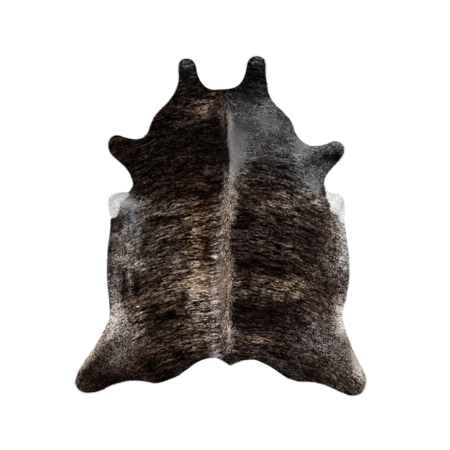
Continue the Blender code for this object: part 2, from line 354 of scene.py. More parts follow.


# ------------------------ the coat's markings

# level is how bright the coat looks, 0 black to 1 white; warm is 0 for blue-grey hair, 1 for
# brown and 2 for gold; where the coat on the right shoulder and beside the parting is lighter and
# blue-grey, that is partly grey hair and partly painted sheen; contrast is how strongly its
# streaks and flecks stand out; mottle is 0 where they follow the flow and 1 where they are short
# and upright.

# The cross bands of the brindle, down the back from the neck
Band = namedtuple("Band", "along left left_warm right right_warm")
CROSS_BANDS = rows_of(Band, (
    (1.050, 0.08, 0.10, 0.08, 0.25),
    (0.860, 0.08, 0.90, 0.09, 0.15),
    # Painted sheen: from here to 0.48 the right side is brighter and blue-grey, partly grey hair
    # and partly sheen painted on the shoulder's hair
    (0.790, 0.09, 1.00, 0.24, 0.10),
    (0.720, 0.09, 0.90, 0.33, 0.05),
    (0.640, 0.08, 0.90, 0.35, 0.00),
    (0.560, 0.08, 0.80, 0.33, 0.00),
    (0.480, 0.09, 0.90, 0.27, 0.05),
    (0.400, 0.09, 1.00, 0.15, 0.25),
    (0.320, 0.11, 1.10, 0.15, 0.80),
    (0.255, 0.09, 1.10, 0.20, 1.15),
    (0.215, 0.20, 1.10, 0.20, 1.25),
    (0.165, 0.15, 1.15, 0.20, 1.15),
    (0.090, 0.19, 1.15, 0.12, 1.00),
    (0.020, 0.19, 1.10, 0.12, 1.00),
    (-0.040, 0.15, 1.10, 0.12, 1.00),
    (-0.120, 0.20, 1.15, 0.12, 1.05),
    (-0.215, 0.21, 1.30, 0.06, 1.05),
    (-0.285, 0.28, 1.50, 0.16, 1.30),
    (-0.350, 0.20, 1.50, 0.20, 1.30),
    (-0.430, 0.14, 1.40, 0.14, 1.10),
    (-0.490, 0.09, 1.30, 0.08, 0.90),
    (-0.550, 0.17, 1.30, 0.08, 0.90),
    (-0.640, 0.17, 1.40, 0.13, 0.90),
    (-0.720, 0.13, 1.30, 0.13, 1.00),
    (-0.800, 0.08, 1.00, 0.12, 0.90),
    (-0.920, 0.05, 0.60, 0.12, 0.80),
    (-1.050, 0.05, 0.50, 0.15, 0.60),
))

# Each patch adds its amounts at its middle and half of them where its half sizes end; some are
# turned by degrees to the left
Patch = namedtuple("Patch", "place across along half_across half_along level warm turn",
                   defaults=(0,))
LEFT_PATCHES = rows_of(Patch, (
    ("neck tab's tip", -0.215, 1.03, 0.05, 0.04, 0.09, 0.0),
    ("nape", -0.125, 0.725, 0.06, 0.055, 0.15, 0.5),
    ("nape by the parting", -0.04, 0.795, 0.035, 0.045, 0.1, 0.6),
    ("tan of the shoulder", -0.37, 0.44, 0.04, 0.035, 0.05, 0.0),
    ("grey beside the corner", -0.59, 0.16, 0.06, 0.045, 0.54, -0.8),
    ("haze below it", -0.545, 0.08, 0.045, 0.06, 0.11, -0.8),
    ("grey behind the foreleg", -0.42, 0.13, 0.11, 0.035, 0.19, -0.2),
    ("dark of the barrel", -0.34, 0.045, 0.075, 0.045, -0.08, 0.0),
    ("blue haze", -0.55, 0.0, 0.05, 0.09, 0.16, -0.7),
    ("dark below the corner", -0.64, 0.045, 0.025, 0.035, -0.02, -0.3),
    ("flank haze", -0.61, -0.14, 0.08, 0.15, 0.26, -0.4),
    ("flank edge", -0.68, -0.36, 0.05, 0.11, 0.22, -0.3),
    ("dark rim of the flank", -0.69, -0.26, 0.022, 0.08, -0.16, -0.2),
    ("pale before the stifle", -0.66, -0.51, 0.028, 0.068, 0.3, -0.4),
    ("pale brush mark", -0.52, -0.24, 0.04, 0.028, 0.3, -0.2, 20),
    ("pale streak", -0.562, -0.34, 0.016, 0.06, 0.2, -0.6),
    ("dark before the streak", -0.602, -0.38, 0.022, 0.075, -0.16, -0.2),
    ("dark behind the streak", -0.522, -0.36, 0.02, 0.075, -0.14, 0.0),
    ("pale stifle edge", -0.64, -0.61, 0.05, 0.075, 0.52, -0.6, -25),
    ("ridge of the stifle", -0.672, -0.672, 0.011, 0.055, 0.22, -0.2, -29),
    ("grey behind the stifle", -0.545, -0.655, 0.055, 0.065, 0.33, -0.3),
    ("dark before the thigh", -0.4, -0.69, 0.06, 0.035, -0.08, 0.0),
    ("dark of the rump", -0.4, -0.83, 0.062, 0.045, -0.06, 0.0),
    ("dark line of the thigh", -0.745, -0.785, 0.018, 0.075, -0.06, -0.3, -33),
    ("violet of the thigh", -0.665, -0.8, 0.085, 0.08, 0.23, -0.6),
    ("grey of the flank", -0.49, -0.53, 0.038, 0.046, 0.22, -0.2),
    ("hind leg's outer edge", -0.812, -0.79, 0.034, 0.19, 0.62, -0.1, -33),
    ("inside of the hind leg", -0.67, -0.975, 0.11, 0.07, -0.1, -0.5),
    ("dark of the flank", -0.44, -0.38, 0.08, 0.05, -0.13, 0.0, 10),
    ("dark of the loin", -0.43, -0.49, 0.08, 0.045, -0.09, 0.0, 12),
    ("dark before the glow", -0.3, -0.545, 0.042, 0.028, -0.1, 0.0),
    ("tan of the barrel", -0.218, -0.07, 0.045, 0.03, 0.04, 0.0),
    ("tan above the glow", -0.222, -0.31, 0.035, 0.024, 0.09, 0.0),
    ("dark of the ribs", -0.34, -0.09, 0.09, 0.03, -0.05, 0.0),
    ("gold by the parting", -0.13, -0.06, 0.08, 0.3, 0.0, 0.9),
    ("pale gold streak", -0.142, -0.18, 0.03, 0.15, 0.19, 0.1),
    ("dark by the parting", -0.085, -0.085, 0.032, 0.06, -0.07, 0.0),
    ("dark behind the withers", -0.09, 0.15, 0.05, 0.03, -0.1, 0.0),
    ("dark on the back", -0.07, -0.17, 0.024, 0.06, -0.1, 0.4),
    ("dark beside the crest", -0.014, -0.012, 0.028, 0.022, -0.12, 0.0),
    ("pale beside the crest", -0.008, 0.072, 0.024, 0.022, 0.14, 0.0),
    ("tan glow", -0.152, -0.385, 0.064, 0.06, 0.29, 0.2),
    ("tan below the glow", -0.1, -0.535, 0.058, 0.058, 0.22, 0.1),
    ("tan of the loin", -0.19, -0.62, 0.06, 0.03, 0.07, 0.2),
    ("tan by the tail", -0.15, -0.75, 0.06, 0.028, 0.1, 0.2),
    ("streak beside the glow", -0.15, -0.45, 0.035, 0.09, 0.2, -0.1),
    ("dark beside the glow", -0.22, -0.43, 0.032, 0.06, -0.16, 0.0),
    # Painted sheen: the next two patches lighten the hair just left of the parting to a
    # violet-grey
    ("painted sheen left of the parting", -0.018, -0.46, 0.036, 0.25, 0.32, -0.5),
    ("painted sheen on the back", 0.0, -0.13, 0.018, 0.07, 0.14, -0.3),
    ("root of the tail", -0.005, -0.83, 0.032, 0.04, 0.48, -1.0),
    ("loin's pale lock", -0.05, -0.77, 0.028, 0.024, 0.09, -0.4),
    ("pale lock of the loin", -0.058, -0.696, 0.034, 0.024, 0.12, 0.0),
))
RIGHT_PATCHES = rows_of(Patch, (
    ("neck tab's tip", 0.225, 1.04, 0.05, 0.03, 0.08, 0.0),
    # Painted sheen: the shoulder's upper edge, the middle of the shoulder and the bright shoulder
    # edge lighten the right shoulder, partly as grey hair and partly as sheen painted on its hair
    ("shoulder's upper edge", 0.295, 0.745, 0.08, 0.075, 0.15, 0.0),
    ("side of the neck", 0.272, 0.63, 0.055, 0.05, 0.07, 0.0),
    ("middle of the shoulder", 0.52, 0.545, 0.09, 0.05, 0.12, 0.0),
    ("dark above the elbow", 0.372, 0.53, 0.06, 0.045, -0.12, 0.0),
    ("bright shoulder edge", 0.49, 0.48, 0.065, 0.06, 0.24, 0.0),
    # Painted sheen on the hair just right of the parting
    ("painted sheen by the parting", 0.122, 0.41, 0.042, 0.13, 0.2, 0.0),
    ("dark below the silver", 0.13, 0.15, 0.045, 0.05, -0.09, 0.0),
    ("dark of the withers", 0.24, 0.215, 0.065, 0.048, -0.09, 0.0),
    ("tan of the ribs", 0.555, 0.14, 0.045, 0.03, 0.05, 0.0),
    ("tan of the barrel", 0.31, 0.061, 0.045, 0.03, 0.04, 0.0),
    ("dark below the shoulder", 0.272, 0.41, 0.08, 0.06, -0.02, 0.2),
    ("shade by the parting", 0.16, 0.61, 0.045, 0.05, -0.06, 0.0),
    ("tan of the foreribs", 0.45, 0.315, 0.06, 0.04, 0.06, 0.0),
    ("tan of the flank", 0.461, -0.014, 0.045, 0.035, 0.05, 0.0),
    ("foreleg", 0.725, 0.425, 0.125, 0.035, -0.28, 0.1),
    ("foreleg's upper side", 0.74, 0.53, 0.07, 0.03, 0.25, 0.0),
    ("elbow", 0.555, 0.274, 0.045, 0.065, 0.16, -0.35),
    ("pale elbow edge", 0.625, 0.285, 0.03, 0.045, 0.12, -0.2),
    ("behind the elbow", 0.575, 0.24, 0.06, 0.08, 0.2, -0.2),
    ("grey before the corner", 0.62, 0.15, 0.05, 0.04, 0.16, -0.2),
    ("below the right corner", 0.705, 0.04, 0.035, 0.08, 0.15, 0.0),
    ("beside the right corner", 0.75, 0.04, 0.032, 0.07, 0.12, -0.2),
    ("dark by the parting", 0.147, 0.042, 0.04, 0.06, -0.07, 0.0),
    ("pale flank edge", 0.785, -0.12, 0.042, 0.185, 0.57, -0.7),
    ("flank", 0.687, -0.15, 0.065, 0.17, 0.21, 0.0),
    ("pale lock of the flank", 0.69, -0.245, 0.035, 0.03, 0.06, 0.0),
    ("pale line", 0.47, -0.2, 0.08, 0.012, 0.12, -0.2, -32),
    ("dark flank clump", 0.56, -0.47, 0.06, 0.03, -0.1, 0.0, -20),
    ("flank behind the glow", 0.61, -0.32, 0.06, 0.04, 0.12, 0.0, -20),
    ("tan glow", 0.392, -0.385, 0.1, 0.04, 0.11, 0.5, -14),
    ("flank beside the glow", 0.5, -0.34, 0.1, 0.05, 0.12, 0.2, -14),
    ("dark in the glow", 0.31, -0.31, 0.04, 0.03, -0.1, 0.0),
    ("dark beside the crest", 0.15, -0.35, 0.045, 0.04, -0.1, 0.0),
    ("pale stifle edge", 0.756, -0.56, 0.046, 0.125, 0.68, -0.5),
    ("thigh", 0.6, -0.69, 0.11, 0.11, 0.26, -0.3),
    ("red streak", 0.216, -0.718, 0.11, 0.022, 0.11, 0.8, -4),
    ("hind leg's outer edge", 0.852, -0.855, 0.046, 0.165, 0.58, -0.2, 26),
    ("hind leg", 0.762, -0.93, 0.1, 0.09, 0.15, 0.0),
    ("hind leg's front", 0.69, -0.785, 0.075, 0.05, 0.12, 0.0),
    ("dark edge of the thigh", 0.766, -0.74, 0.024, 0.028, -0.15, 0.0, 20),
    ("hind leg's tip", 0.86, -0.99, 0.07, 0.06, 0.08, 0.2),
))

# Where the coat isn't streaked as it is on the barrel
Nap = namedtuple("Nap", "place across along half_across half_along contrast mottle")
NAPS = rows_of(Nap, (
    ("right shoulder", 0.3, 0.62, 0.28, 0.21, -0.77, 0.9),
    ("right foreleg", 0.65, 0.45, 0.12, 0.12, -0.25, 0.8),
    ("right elbow", 0.56, 0.27, 0.08, 0.1, -0.45, 0.3),
    # Painted sheen right of the parting: the streaks are calmer under it
    ("painted sheen by the parting", 0.11, 0.45, 0.05, 0.22, -0.5, 0.4),
    ("blue haze", -0.57, 0.08, 0.08, 0.15, -0.5, 0.2),
    ("left flank", -0.64, -0.13, 0.14, 0.42, -0.1, 0.9),
    ("right flank", 0.7, -0.12, 0.14, 0.42, -0.1, 0.9),
    ("left hind leg", -0.78, -0.85, 0.22, 0.18, -0.25, 0.9),
    ("left thigh", -0.64, -0.8, 0.12, 0.09, -0.25, 0.5),
    ("right hind leg", 0.75, -0.82, 0.26, 0.22, -0.4, 0.8),
    ("right loin", 0.2, -0.56, 0.12, 0.08, 0.2, 0.5),
    ("left shoulder", -0.25, 0.5, 0.2, 0.16, 0.25, 0.3),
    # Painted sheen left of the parting: the streaks are calmer under it
    ("strip of painted sheen", -0.026, -0.4, 0.042, 0.38, -0.5, 0.0),
    ("tan glow", -0.15, -0.36, 0.08, 0.12, -0.14, 0.4),
    ("root of the tail", -0.045, -0.805, 0.055, 0.045, -0.5, 0.5),
))

# The parting down the back: where it runs, how far the pale crest hair beside it reaches on
# each side until it is half as strong, how bright that is, and how strong the dark line between
Crest = namedtuple("Crest", "along across left left_level right right_level warm line")
CREST = rows_of(Crest, (
    (0.840, 0.020, 0.016, 0.20, 0.004, 0.20, 0.8, 0.3),
    (0.777, 0.022, 0.022, 0.28, 0.018, 0.30, 0.9, 0.4),
    # Painted sheen: from here to 0.40 the right side's brighter level is partly pale crest hair
    # and partly sheen painted on the hair
    (0.701, 0.040, 0.042, 0.31, 0.030, 0.58, 0.8, 1.0),
    (0.626, 0.046, 0.036, 0.22, 0.031, 0.60, 0.4, 1.0),
    (0.551, 0.044, 0.030, 0.18, 0.042, 0.60, 0.2, 1.0),
    (0.475, 0.050, 0.034, 0.12, 0.050, 0.58, 0.1, 1.0),
    (0.400, 0.054, 0.034, 0.12, 0.050, 0.55, 0.1, 1.0),
    (0.325, 0.044, 0.018, 0.40, 0.050, 0.56, 0.5, 0.3),
    (0.249, 0.044, 0.018, 0.42, 0.042, 0.54, 0.9, 0.0),
    (0.174, 0.050, 0.040, 0.47, 0.044, 0.58, 1.1, 0.0),
    (0.099, 0.046, 0.044, 0.56, 0.040, 0.54, 1.3, 0.0),
    (0.023, 0.044, 0.022, 0.53, 0.030, 0.56, 1.3, 0.1),
    (-0.052, 0.036, 0.022, 0.50, 0.017, 0.50, 1.2, 0.9),
    (-0.127, 0.038, 0.032, 0.49, 0.020, 0.52, 1.2, 0.3),
    (-0.203, 0.038, 0.034, 0.54, 0.032, 0.58, 1.3, 0.3),
    (-0.278, 0.038, 0.034, 0.54, 0.036, 0.64, 1.4, 0.1),
    (-0.354, 0.038, 0.034, 0.55, 0.029, 0.57, 1.4, 0.1),
    (-0.429, 0.038, 0.034, 0.50, 0.030, 0.54, 1.4, 0.4),
    (-0.504, 0.038, 0.030, 0.46, 0.024, 0.50, 1.2, 0.4),
    (-0.580, 0.036, 0.026, 0.48, 0.024, 0.56, 1.1, 0.1),
    (-0.655, 0.042, 0.034, 0.48, 0.030, 0.66, 1.2, 0.0),
    (-0.730, 0.044, 0.030, 0.42, 0.030, 0.56, 1.1, 0.2),
    (-0.806, 0.040, 0.014, 0.25, 0.014, 0.20, 0.7, 0.0),
    (-0.880, 0.040, 0.004, 0.14, 0.004, 0.14, 0.6, 0.0),
))
CREST_LINE_WIDTH = 0.0060
CREST_LINE_DEPTH = 0.62
CREST_SHARPNESS = 4.0

# The white corners of the flanks, each inside a line that leaves the hide at both its ends
White = namedtuple("White", "place level border")
WHITES = (
    White("left flank corner", 0.89, ((-0.560, 0.256), (-0.572, 0.200), (-0.590, 0.170),
                                      (-0.620, 0.153), (-0.629, 0.111), (-0.650, 0.056),
                                      (-0.689, 0.044), (-0.760, 0.044), (-0.760, 0.256))),
    White("right flank corner", 0.96, ((0.650, 0.260), (0.655, 0.196), (0.665, 0.168),
                                       (0.671, 0.128), (0.684, 0.088), (0.714, 0.074),
                                       (0.732, 0.036), (0.760, 0.016), (0.830, 0.008),
                                       (0.830, 0.260))),
)
WHITE_WARM, WHITE_CONTRAST = 0.0, 0.04
WHITE_FADE = 0.005              # width of a white corner's soft border

PATCH_WAVES = (Wave(0.130, 0.012, 10), Wave(0.030, 0.008, 12))
CREST_WAVES = (Wave(0.018, 0.0025, 14), Wave(0.060, 0.0020, 15))
WHITE_WAVE = Wave(0.016, 0.010, 16)
LEVEL_WAVES = (Wave(0.070, 0.16, 18),)
SIDE_BLEND = 0.010              # width over which one side's markings pass into the other's
CREST_END, CREST_END_FADE = -0.89, 0.06
PALE_FROM, PALE_RANGE = 0.30, 0.40      # levels over which the coat turns calmer
PALE_CALM, CREST_CALM = 0.55, 0.30      # contrast that pale coat and the crest lose
LEAST_MARKS = (0.02, -0.2, 0.05, 0.0)   # level, warmth, contrast and mottle
MOST_MARKS = (1.5, 2.4, 1.5, 1.0)


def patch_share(points, patch, turn=0.0):
    """1 in the middle of the patch, a half where its half sizes end, 0 far off."""
    turn = radians(turn)
    across = points[:, 0] - patch.across
    along = points[:, 1] - patch.along
    own_across = across * np.cos(turn) + along * np.sin(turn)
    own_along = along * np.cos(turn) - across * np.sin(turn)
    spread = (own_across / patch.half_across) ** 2 + (own_along / patch.half_along) ** 2
    return 2.0 ** -spread


def side_markings(points, flow, side, patches):
    """Level and warmth on one side of the back: its cross bands and its patches."""
    marks = np.column_stack([table(flow[:, 0], CROSS_BANDS, side),
                             table(flow[:, 0], CROSS_BANDS, side + "_warm")])
    for patch in patches:
        marks += patch_share(points, patch, patch.turn)[:, None] * (patch.level, patch.warm)
    return marks


def blend(marks, amounts, share):
    """Moves the first columns of the markings towards the amounts, by the share at each point."""
    for column, amount in enumerate(amounts):
        marks[:, column] += (amount - marks[:, column]) * share


def markings(points):
    """Level, warmth, contrast and mottle of the coat at each point."""
    _, flow = hair_flow(points)
    moved = points
    for wave in PATCH_WAVES:
        moved = soft_shift(moved, wave)
    left = side_markings(moved, flow, "left", LEFT_PATCHES)
    right = side_markings(moved, flow, "right", RIGHT_PATCHES)

    here = Crest(*[table(points[:, 1], CREST, name) for name in Crest._fields])
    off = wavered(points[:, 0], points, CREST_WAVES) - here.across
    to_right = ease(off / SIDE_BLEND + 0.5)
    marks = left * (1 - to_right)[:, None] + right * to_right[:, None]
    width = np.where(off < 0, here.left, here.right)
    crest = 2.0 ** -((np.abs(off) / width) ** CREST_SHARPNESS)
    crest *= ease((points[:, 1] - CREST_END) / CREST_END_FADE)
    level = here.left_level * (1 - to_right) + here.right_level * to_right
    line = np.exp(-(off / CREST_LINE_WIDTH) ** 2) * here.line
    level *= 1.0 - CREST_LINE_DEPTH * line
    blend(marks, (level, here.warm), crest)

    pale = ease((marks[:, 0] - PALE_FROM) / PALE_RANGE)
    contrast = (1.0 - PALE_CALM * pale) * (1.0 - CREST_CALM * crest)
    mottle = crest
    for nap in NAPS:
        share = patch_share(moved, nap)
        contrast = contrast + nap.contrast * share
        mottle = mottle + nap.mottle * share
    marks = np.column_stack([marks, contrast, mottle])

    ragged = soft_shift(points, WHITE_WAVE)
    for white in WHITES:
        border = np.array(white.border)
        share = ease(rim_distance(ragged, border) / WHITE_FADE) * inside(ragged, border)
        blend(marks, (white.level, WHITE_WARM, WHITE_CONTRAST), share)
    marks[:, 0] *= wavered(1.0, points, LEVEL_WAVES)
    return np.clip(marks, LEAST_MARKS, MOST_MARKS)


# ------------------------ materials

class Tree:
    """A short way to add and join a material's nodes."""

    def __init__(self, name):
        self.material = bpy.data.materials.new(name)
        self.material.use_nodes = True
        self.nodes = self.material.node_tree.nodes
        self.links = self.material.node_tree.links
        self.shader = self.nodes["Principled BSDF"]

    def put(self, value, socket):
        """Joins another node's socket to this one, or sets it to a plain value."""
        if isinstance(value, bpy.types.NodeSocket):
            self.links.new(value, socket)
        else:
            socket.default_value = value

    def add(self, kind, out=0, inputs=None, **settings):
        node = self.nodes.new(kind)
        for name, value in settings.items():
            setattr(node, name, value)
        for name, value in (inputs or {}).items():
            self.put(value, node.inputs[name])
        return node.outputs[out]

    def place(self):
        return self.add("ShaderNodeTexCoord", out="Object")

    def attribute(self, name, out):
        return self.add("ShaderNodeAttribute", out=out, attribute_name=name)

    def maths(self, operation, *values):
        node = self.nodes.new("ShaderNodeMath")
        node.operation = operation
        for index, value in enumerate(values):
            self.put(value, node.inputs[index])
        return node.outputs[0]

    def line(self, value, slope, start):
        return self.maths("MULTIPLY_ADD", value, slope, start)

    def times(self, value, share):
        return self.maths("MULTIPLY", value, share)

    def stretched(self, vector, scale):
        node = self.nodes.new("ShaderNodeVectorMath")
        node.operation = "MULTIPLY"
        self.put(vector, node.inputs[0])
        node.inputs[1].default_value = scale
        return node.outputs[0]

    def noise(self, vector, scale, detail=2.0):
        """Noise with a bump in each 1/scale metres, which may differ between the axes."""
        inputs = {"Vector": self.stretched(vector, scale), "Scale": 1.0, "Detail": detail}
        return self.add("ShaderNodeTexNoise", inputs=inputs)

    def separate(self, colour):
        node = self.nodes.new("ShaderNodeSeparateColor")
        self.links.new(colour, node.inputs[0])
        return node.outputs

    def combine(self, red, green, blue):
        parts = {"Red": red, "Green": green, "Blue": blue}
        return self.add("ShaderNodeCombineColor", inputs=parts)

    def bump(self, height, distance, strength):
        inputs = {"Height": height, "Distance": distance, "Strength": strength}
        return self.add("ShaderNodeBump", inputs=inputs)

    def ramp(self, value, stops):
        """A colour that runs through the stops, each a position and a colour."""
        ramp = self.nodes.new("ShaderNodeValToRGB")
        self.put(value, ramp.inputs[0])
        elements = ramp.color_ramp.elements
        for _ in stops[2:]:
            elements.new(0.5)
        for element, (position, colour) in zip(elements, stops):
            element.position = position
            element.color = (*colour, 1.0)
        return ramp.outputs[0]

    def finish(self, colour, roughness, specular, normal=None):
        parts = {"Base Color": colour, "Roughness": roughness, "Specular IOR Level": specular}
        if normal:
            parts["Normal"] = normal
        for name, value in parts.items():
            self.put(value, self.shader.inputs[name])
        return self.material


# Streaks and flecks: bumps to the metre across and along the flow, and how strongly each tells
Grain = namedtuple("Grain", "name across along detail weight")
GRAINS = (
    Grain("clumps", 27.0, 7.0, 1.0, 4.6),
    Grain("stripes", 52.0, 5.0, 0.0, 4.6),
    Grain("streaks", 90.0, 8.5, 1.0, 8.6),
    Grain("narrow streaks", 170.0, 18.0, 0.0, 9.2),
    Grain("flecks", 155.0, 60.0, 0.0, 8.2),
)
MOTTLES = (
    Grain("mottled clumps", 34.0, 22.0, 1.0, 4.2),
    Grain("twists", 95.0, 60.0, 1.0, 3.4),
    Grain("specks", 150.0, 125.0, 1.0, 9.5),
)
LOCK_WEIGHT = 5.6               # how strongly locks differ from their neighbours
LOCK_WEIGHT_KEPT = 0.06         # share of it that stays where the contrast is 0
LOCK_WEIGHT_MOTTLED = -0.45     # change of it where the coat is mottled
CONTRAST_GAIN = -0.42           # keeps the coat's mean brightness as the contrast grows
DARKEST_SWING = 0.03
TONE_POWER = 2.2                # from how bright it looks to how much light it reflects
HAIR_GAIN, HAIR_STREAKING = 0.49, 0.82
ROOT_GAIN, TIP_GAIN = 0.52, 1.38        # a lock is darker at its root than at its tip
ROOT_TOLD, ROOT_TOLD_GAIN = 0.3, 0.8    # how much of that shows at contrast 0, and its growth
SKIN_GAIN, PORE_STREAKING = 0.45, 0.3
# Painted shade: the skin that shows between the locks is darkened, more where they contrast more
GAP_SHADE_TONE, GAP_SHADE_GAIN = 1.1, -0.60         # the skin is darker between locks that contrast more
GAP_SHADE_LEAST = 0.3
HUE_STRENGTH = 2.0
BRIGHTEST = 0.92                # most light that any hair reflects

# The hues of brown and of grey hair, by how bright it looks, before their strength; the grey hues
# also colour the painted sheen
Hue = namedtuple("Hue", "seen red green blue")
WARM_HUES = (
    Hue(0.00, 1.000, 0.360, 0.200),
    Hue(0.12, 0.880, 0.410, 0.290),
    Hue(0.26, 0.700, 0.463, 0.371),
    Hue(0.50, 0.612, 0.480, 0.399),
    Hue(1.00, 0.590, 0.483, 0.420),
)
GREY_AND_SHEEN_HUES = (
    Hue(0.00, 0.515, 0.492, 0.518),
    Hue(0.60, 0.515, 0.492, 0.518),
    Hue(0.80, 0.503, 0.503, 0.500),
)


def swing_of(tree, place, grains):
    """The sum of the grains' noises, each as strong as its weight, around 0."""
    total = 0.0
    for grain in grains:
        noise = tree.noise(place, (grain.across, grain.along, 0.0), grain.detail)
        noise = tree.maths("SUBTRACT", noise, 0.5)
        total = tree.line(noise, grain.weight, total)
    return total


def hue_of(tree, seen, hues):
    return tree.separate(tree.ramp(seen, [(hue.seen, hue[1:]) for hue in hues]))


def coat_colour(tree, brightness):
    """The coat's colour from its markings, streaked along the flow.

    The flow's third number isn't a place: it is drawn for each lock, from 0 to 1.
    """
    marks = tree.attribute("markings", "Color")
    level, warm, contrast = tree.separate(marks)[:3]
    mottle = marks.node.outputs["Alpha"]
    flow = tree.attribute("flow", "Vector")
    lock = tree.maths("SUBTRACT", tree.separate(flow)[2], 0.5)
    streaks = swing_of(tree, flow, GRAINS)
    twists = swing_of(tree, tree.place(), MOTTLES)
    change = tree.maths("SUBTRACT", twists, streaks)
    swing = tree.line(change, mottle, streaks)
    swing = tree.line(swing, contrast, 1.0)
    lock_share = tree.line(contrast, (1 - LOCK_WEIGHT_KEPT) * LOCK_WEIGHT,
                           LOCK_WEIGHT_KEPT * LOCK_WEIGHT)
    left_over = tree.line(mottle, LOCK_WEIGHT_MOTTLED, 1.0)
    lock_share = tree.times(lock_share, left_over)
    swing = tree.line(lock, lock_share, swing)
    swing = tree.maths("MAXIMUM", swing, DARKEST_SWING)
    evened = tree.line(contrast, CONTRAST_GAIN, 1.0)
    swing = tree.times(swing, evened)
    seen = tree.times(level, swing)
    light = tree.times(tree.maths("POWER", seen, TONE_POWER), brightness)
    brown, grey = hue_of(tree, seen, WARM_HUES), hue_of(tree, seen, GREY_AND_SHEEN_HUES)
    channels = []
    for brown_part, grey_part in zip(brown, grey):
        warmer = tree.maths("SUBTRACT", brown_part, grey_part)
        toned = tree.line(warmer, warm, grey_part)
        full = tree.times(tree.times(light, toned), HUE_STRENGTH)
        channels.append(tree.maths("MINIMUM", full, BRIGHTEST))
    return tree.combine(*channels)


def hair_material():
    """Each lock is streaked by its single hairs, finer than the photograph shows."""
    tree = Tree("brindle_hair")
    strand = tree.attribute("strand", "Vector")
    hairs = tree.noise(strand, (3600.0, 110.0, 0.0), detail=1.0)
    brightness = tree.line(hairs, HAIR_STREAKING, HAIR_GAIN)
    to_tip = tree.line(tree.separate(strand)[2], TIP_GAIN - ROOT_GAIN, ROOT_GAIN - 1.0)
    contrast = tree.separate(tree.attribute("markings", "Color"))[2]
    told = tree.line(contrast, ROOT_TOLD_GAIN, ROOT_TOLD)
    to_tip = tree.line(to_tip, tree.maths("MINIMUM", told, 1.0), 1.0)
    brightness = tree.times(brightness, to_tip)
    roughness = tree.line(hairs, 0.25, 0.36)
    return tree.finish(coat_colour(tree, brightness), roughness, specular=0.015,
                       normal=tree.bump(hairs, distance=0.0002, strength=0.6))


def skin_material():
    """The skin between the locks' roots, in the colour of the hair that grows there, darkened by
    painted shade where the locks contrast more.
    """
    tree = Tree("hair_side_of_skin")
    pores = tree.noise(tree.place(), (900.0, 900.0, 900.0))
    brightness = tree.line(pores, PORE_STREAKING, SKIN_GAIN)
    contrast = tree.separate(tree.attribute("markings", "Color"))[2]
    # painted shade in the gaps between the locks
    gap_shade = tree.line(contrast, GAP_SHADE_GAIN, GAP_SHADE_TONE)
    gap_shade = tree.maths("MAXIMUM", gap_shade, GAP_SHADE_LEAST)
    brightness = tree.times(brightness, gap_shade)
    return tree.finish(coat_colour(tree, brightness), roughness=0.8, specular=0.05,
                       normal=tree.bump(pores, distance=0.0004, strength=0.6))


def suede_material():
    """The flesh side: pale greige suede, blotched by the tanning, with a short nap."""
    tree = Tree("suede_underside")
    place = tree.place()
    blotches = tree.noise(place, (7.0, 7.0, 7.0), detail=4.0)
    nap = tree.noise(place, (700.0, 240.0, 700.0), detail=3.0)
    mixed = tree.line(nap, 0.35, tree.times(blotches, 0.65))
    colour = tree.ramp(mixed, [(0.32, (0.30, 0.235, 0.175)), (0.68, (0.56, 0.47, 0.37))])
    return tree.finish(colour, roughness=0.95, specular=0.15,
                       normal=tree.bump(nap, distance=0.0006, strength=0.7))


def cut_edge_material():
    tree = Tree("cut_edge_of_skin")
    fibres = tree.noise(tree.place(), (500.0, 500.0, 2500.0), detail=3.0)
    colour = tree.ramp(fibres, [(0.0, (0.07, 0.05, 0.035)), (1.0, (0.26, 0.19, 0.13))])
    return tree.finish(colour, roughness=0.85, specular=0.5,
                       normal=tree.bump(fibres, distance=0.0003, strength=0.6))


def floor_material():
    tree = Tree("pale_floor")
    mottle = tree.noise(tree.place(), (1.5, 1.5, 1.5), detail=3.0)
    value = tree.line(mottle, 0.02, 0.88)
    return tree.finish(tree.combine(value, value, value), roughness=0.9, specular=0.1)


# ------------------------ the skin

CUT_WAVE = Wave(0.030, 0.0008, 30)      # unevenness of the hand-cut edge


def set_attribute(mesh, name, kind, field, values):
    attribute = mesh.attributes.new(name, kind, "POINT")
    attribute.data.foreach_set(field, values.astype(np.float32).ravel())


def set_coat(mesh, flow_points, lock_values, marks):
    """Writes what the coat's colour reads, a value for each point of the mesh."""
    flow = np.column_stack([flow_points, lock_values])
    set_attribute(mesh, "flow", "FLOAT_VECTOR", "vector", flow)
    set_attribute(mesh, "markings", "FLOAT_COLOR", "color", marks)


def field_points(rim, step):
    """Points inside the rim in even triangles."""
    low, high = rim.min(axis=0), rim.max(axis=0)
    rows = []
    for index, along in enumerate(np.arange(low[1], high[1], step * SKIN_ROW_SHARE)):
        across = np.arange(low[0] + step / 2 * (index % 2), high[0], step)
        rows.append(np.column_stack([across, np.full(across.size, along)]))
    points = np.vstack(rows)
    points = points[inside(points, rim)]
    return points[rim_distance(points, rim) > step * SKIN_EDGE_SHARE]


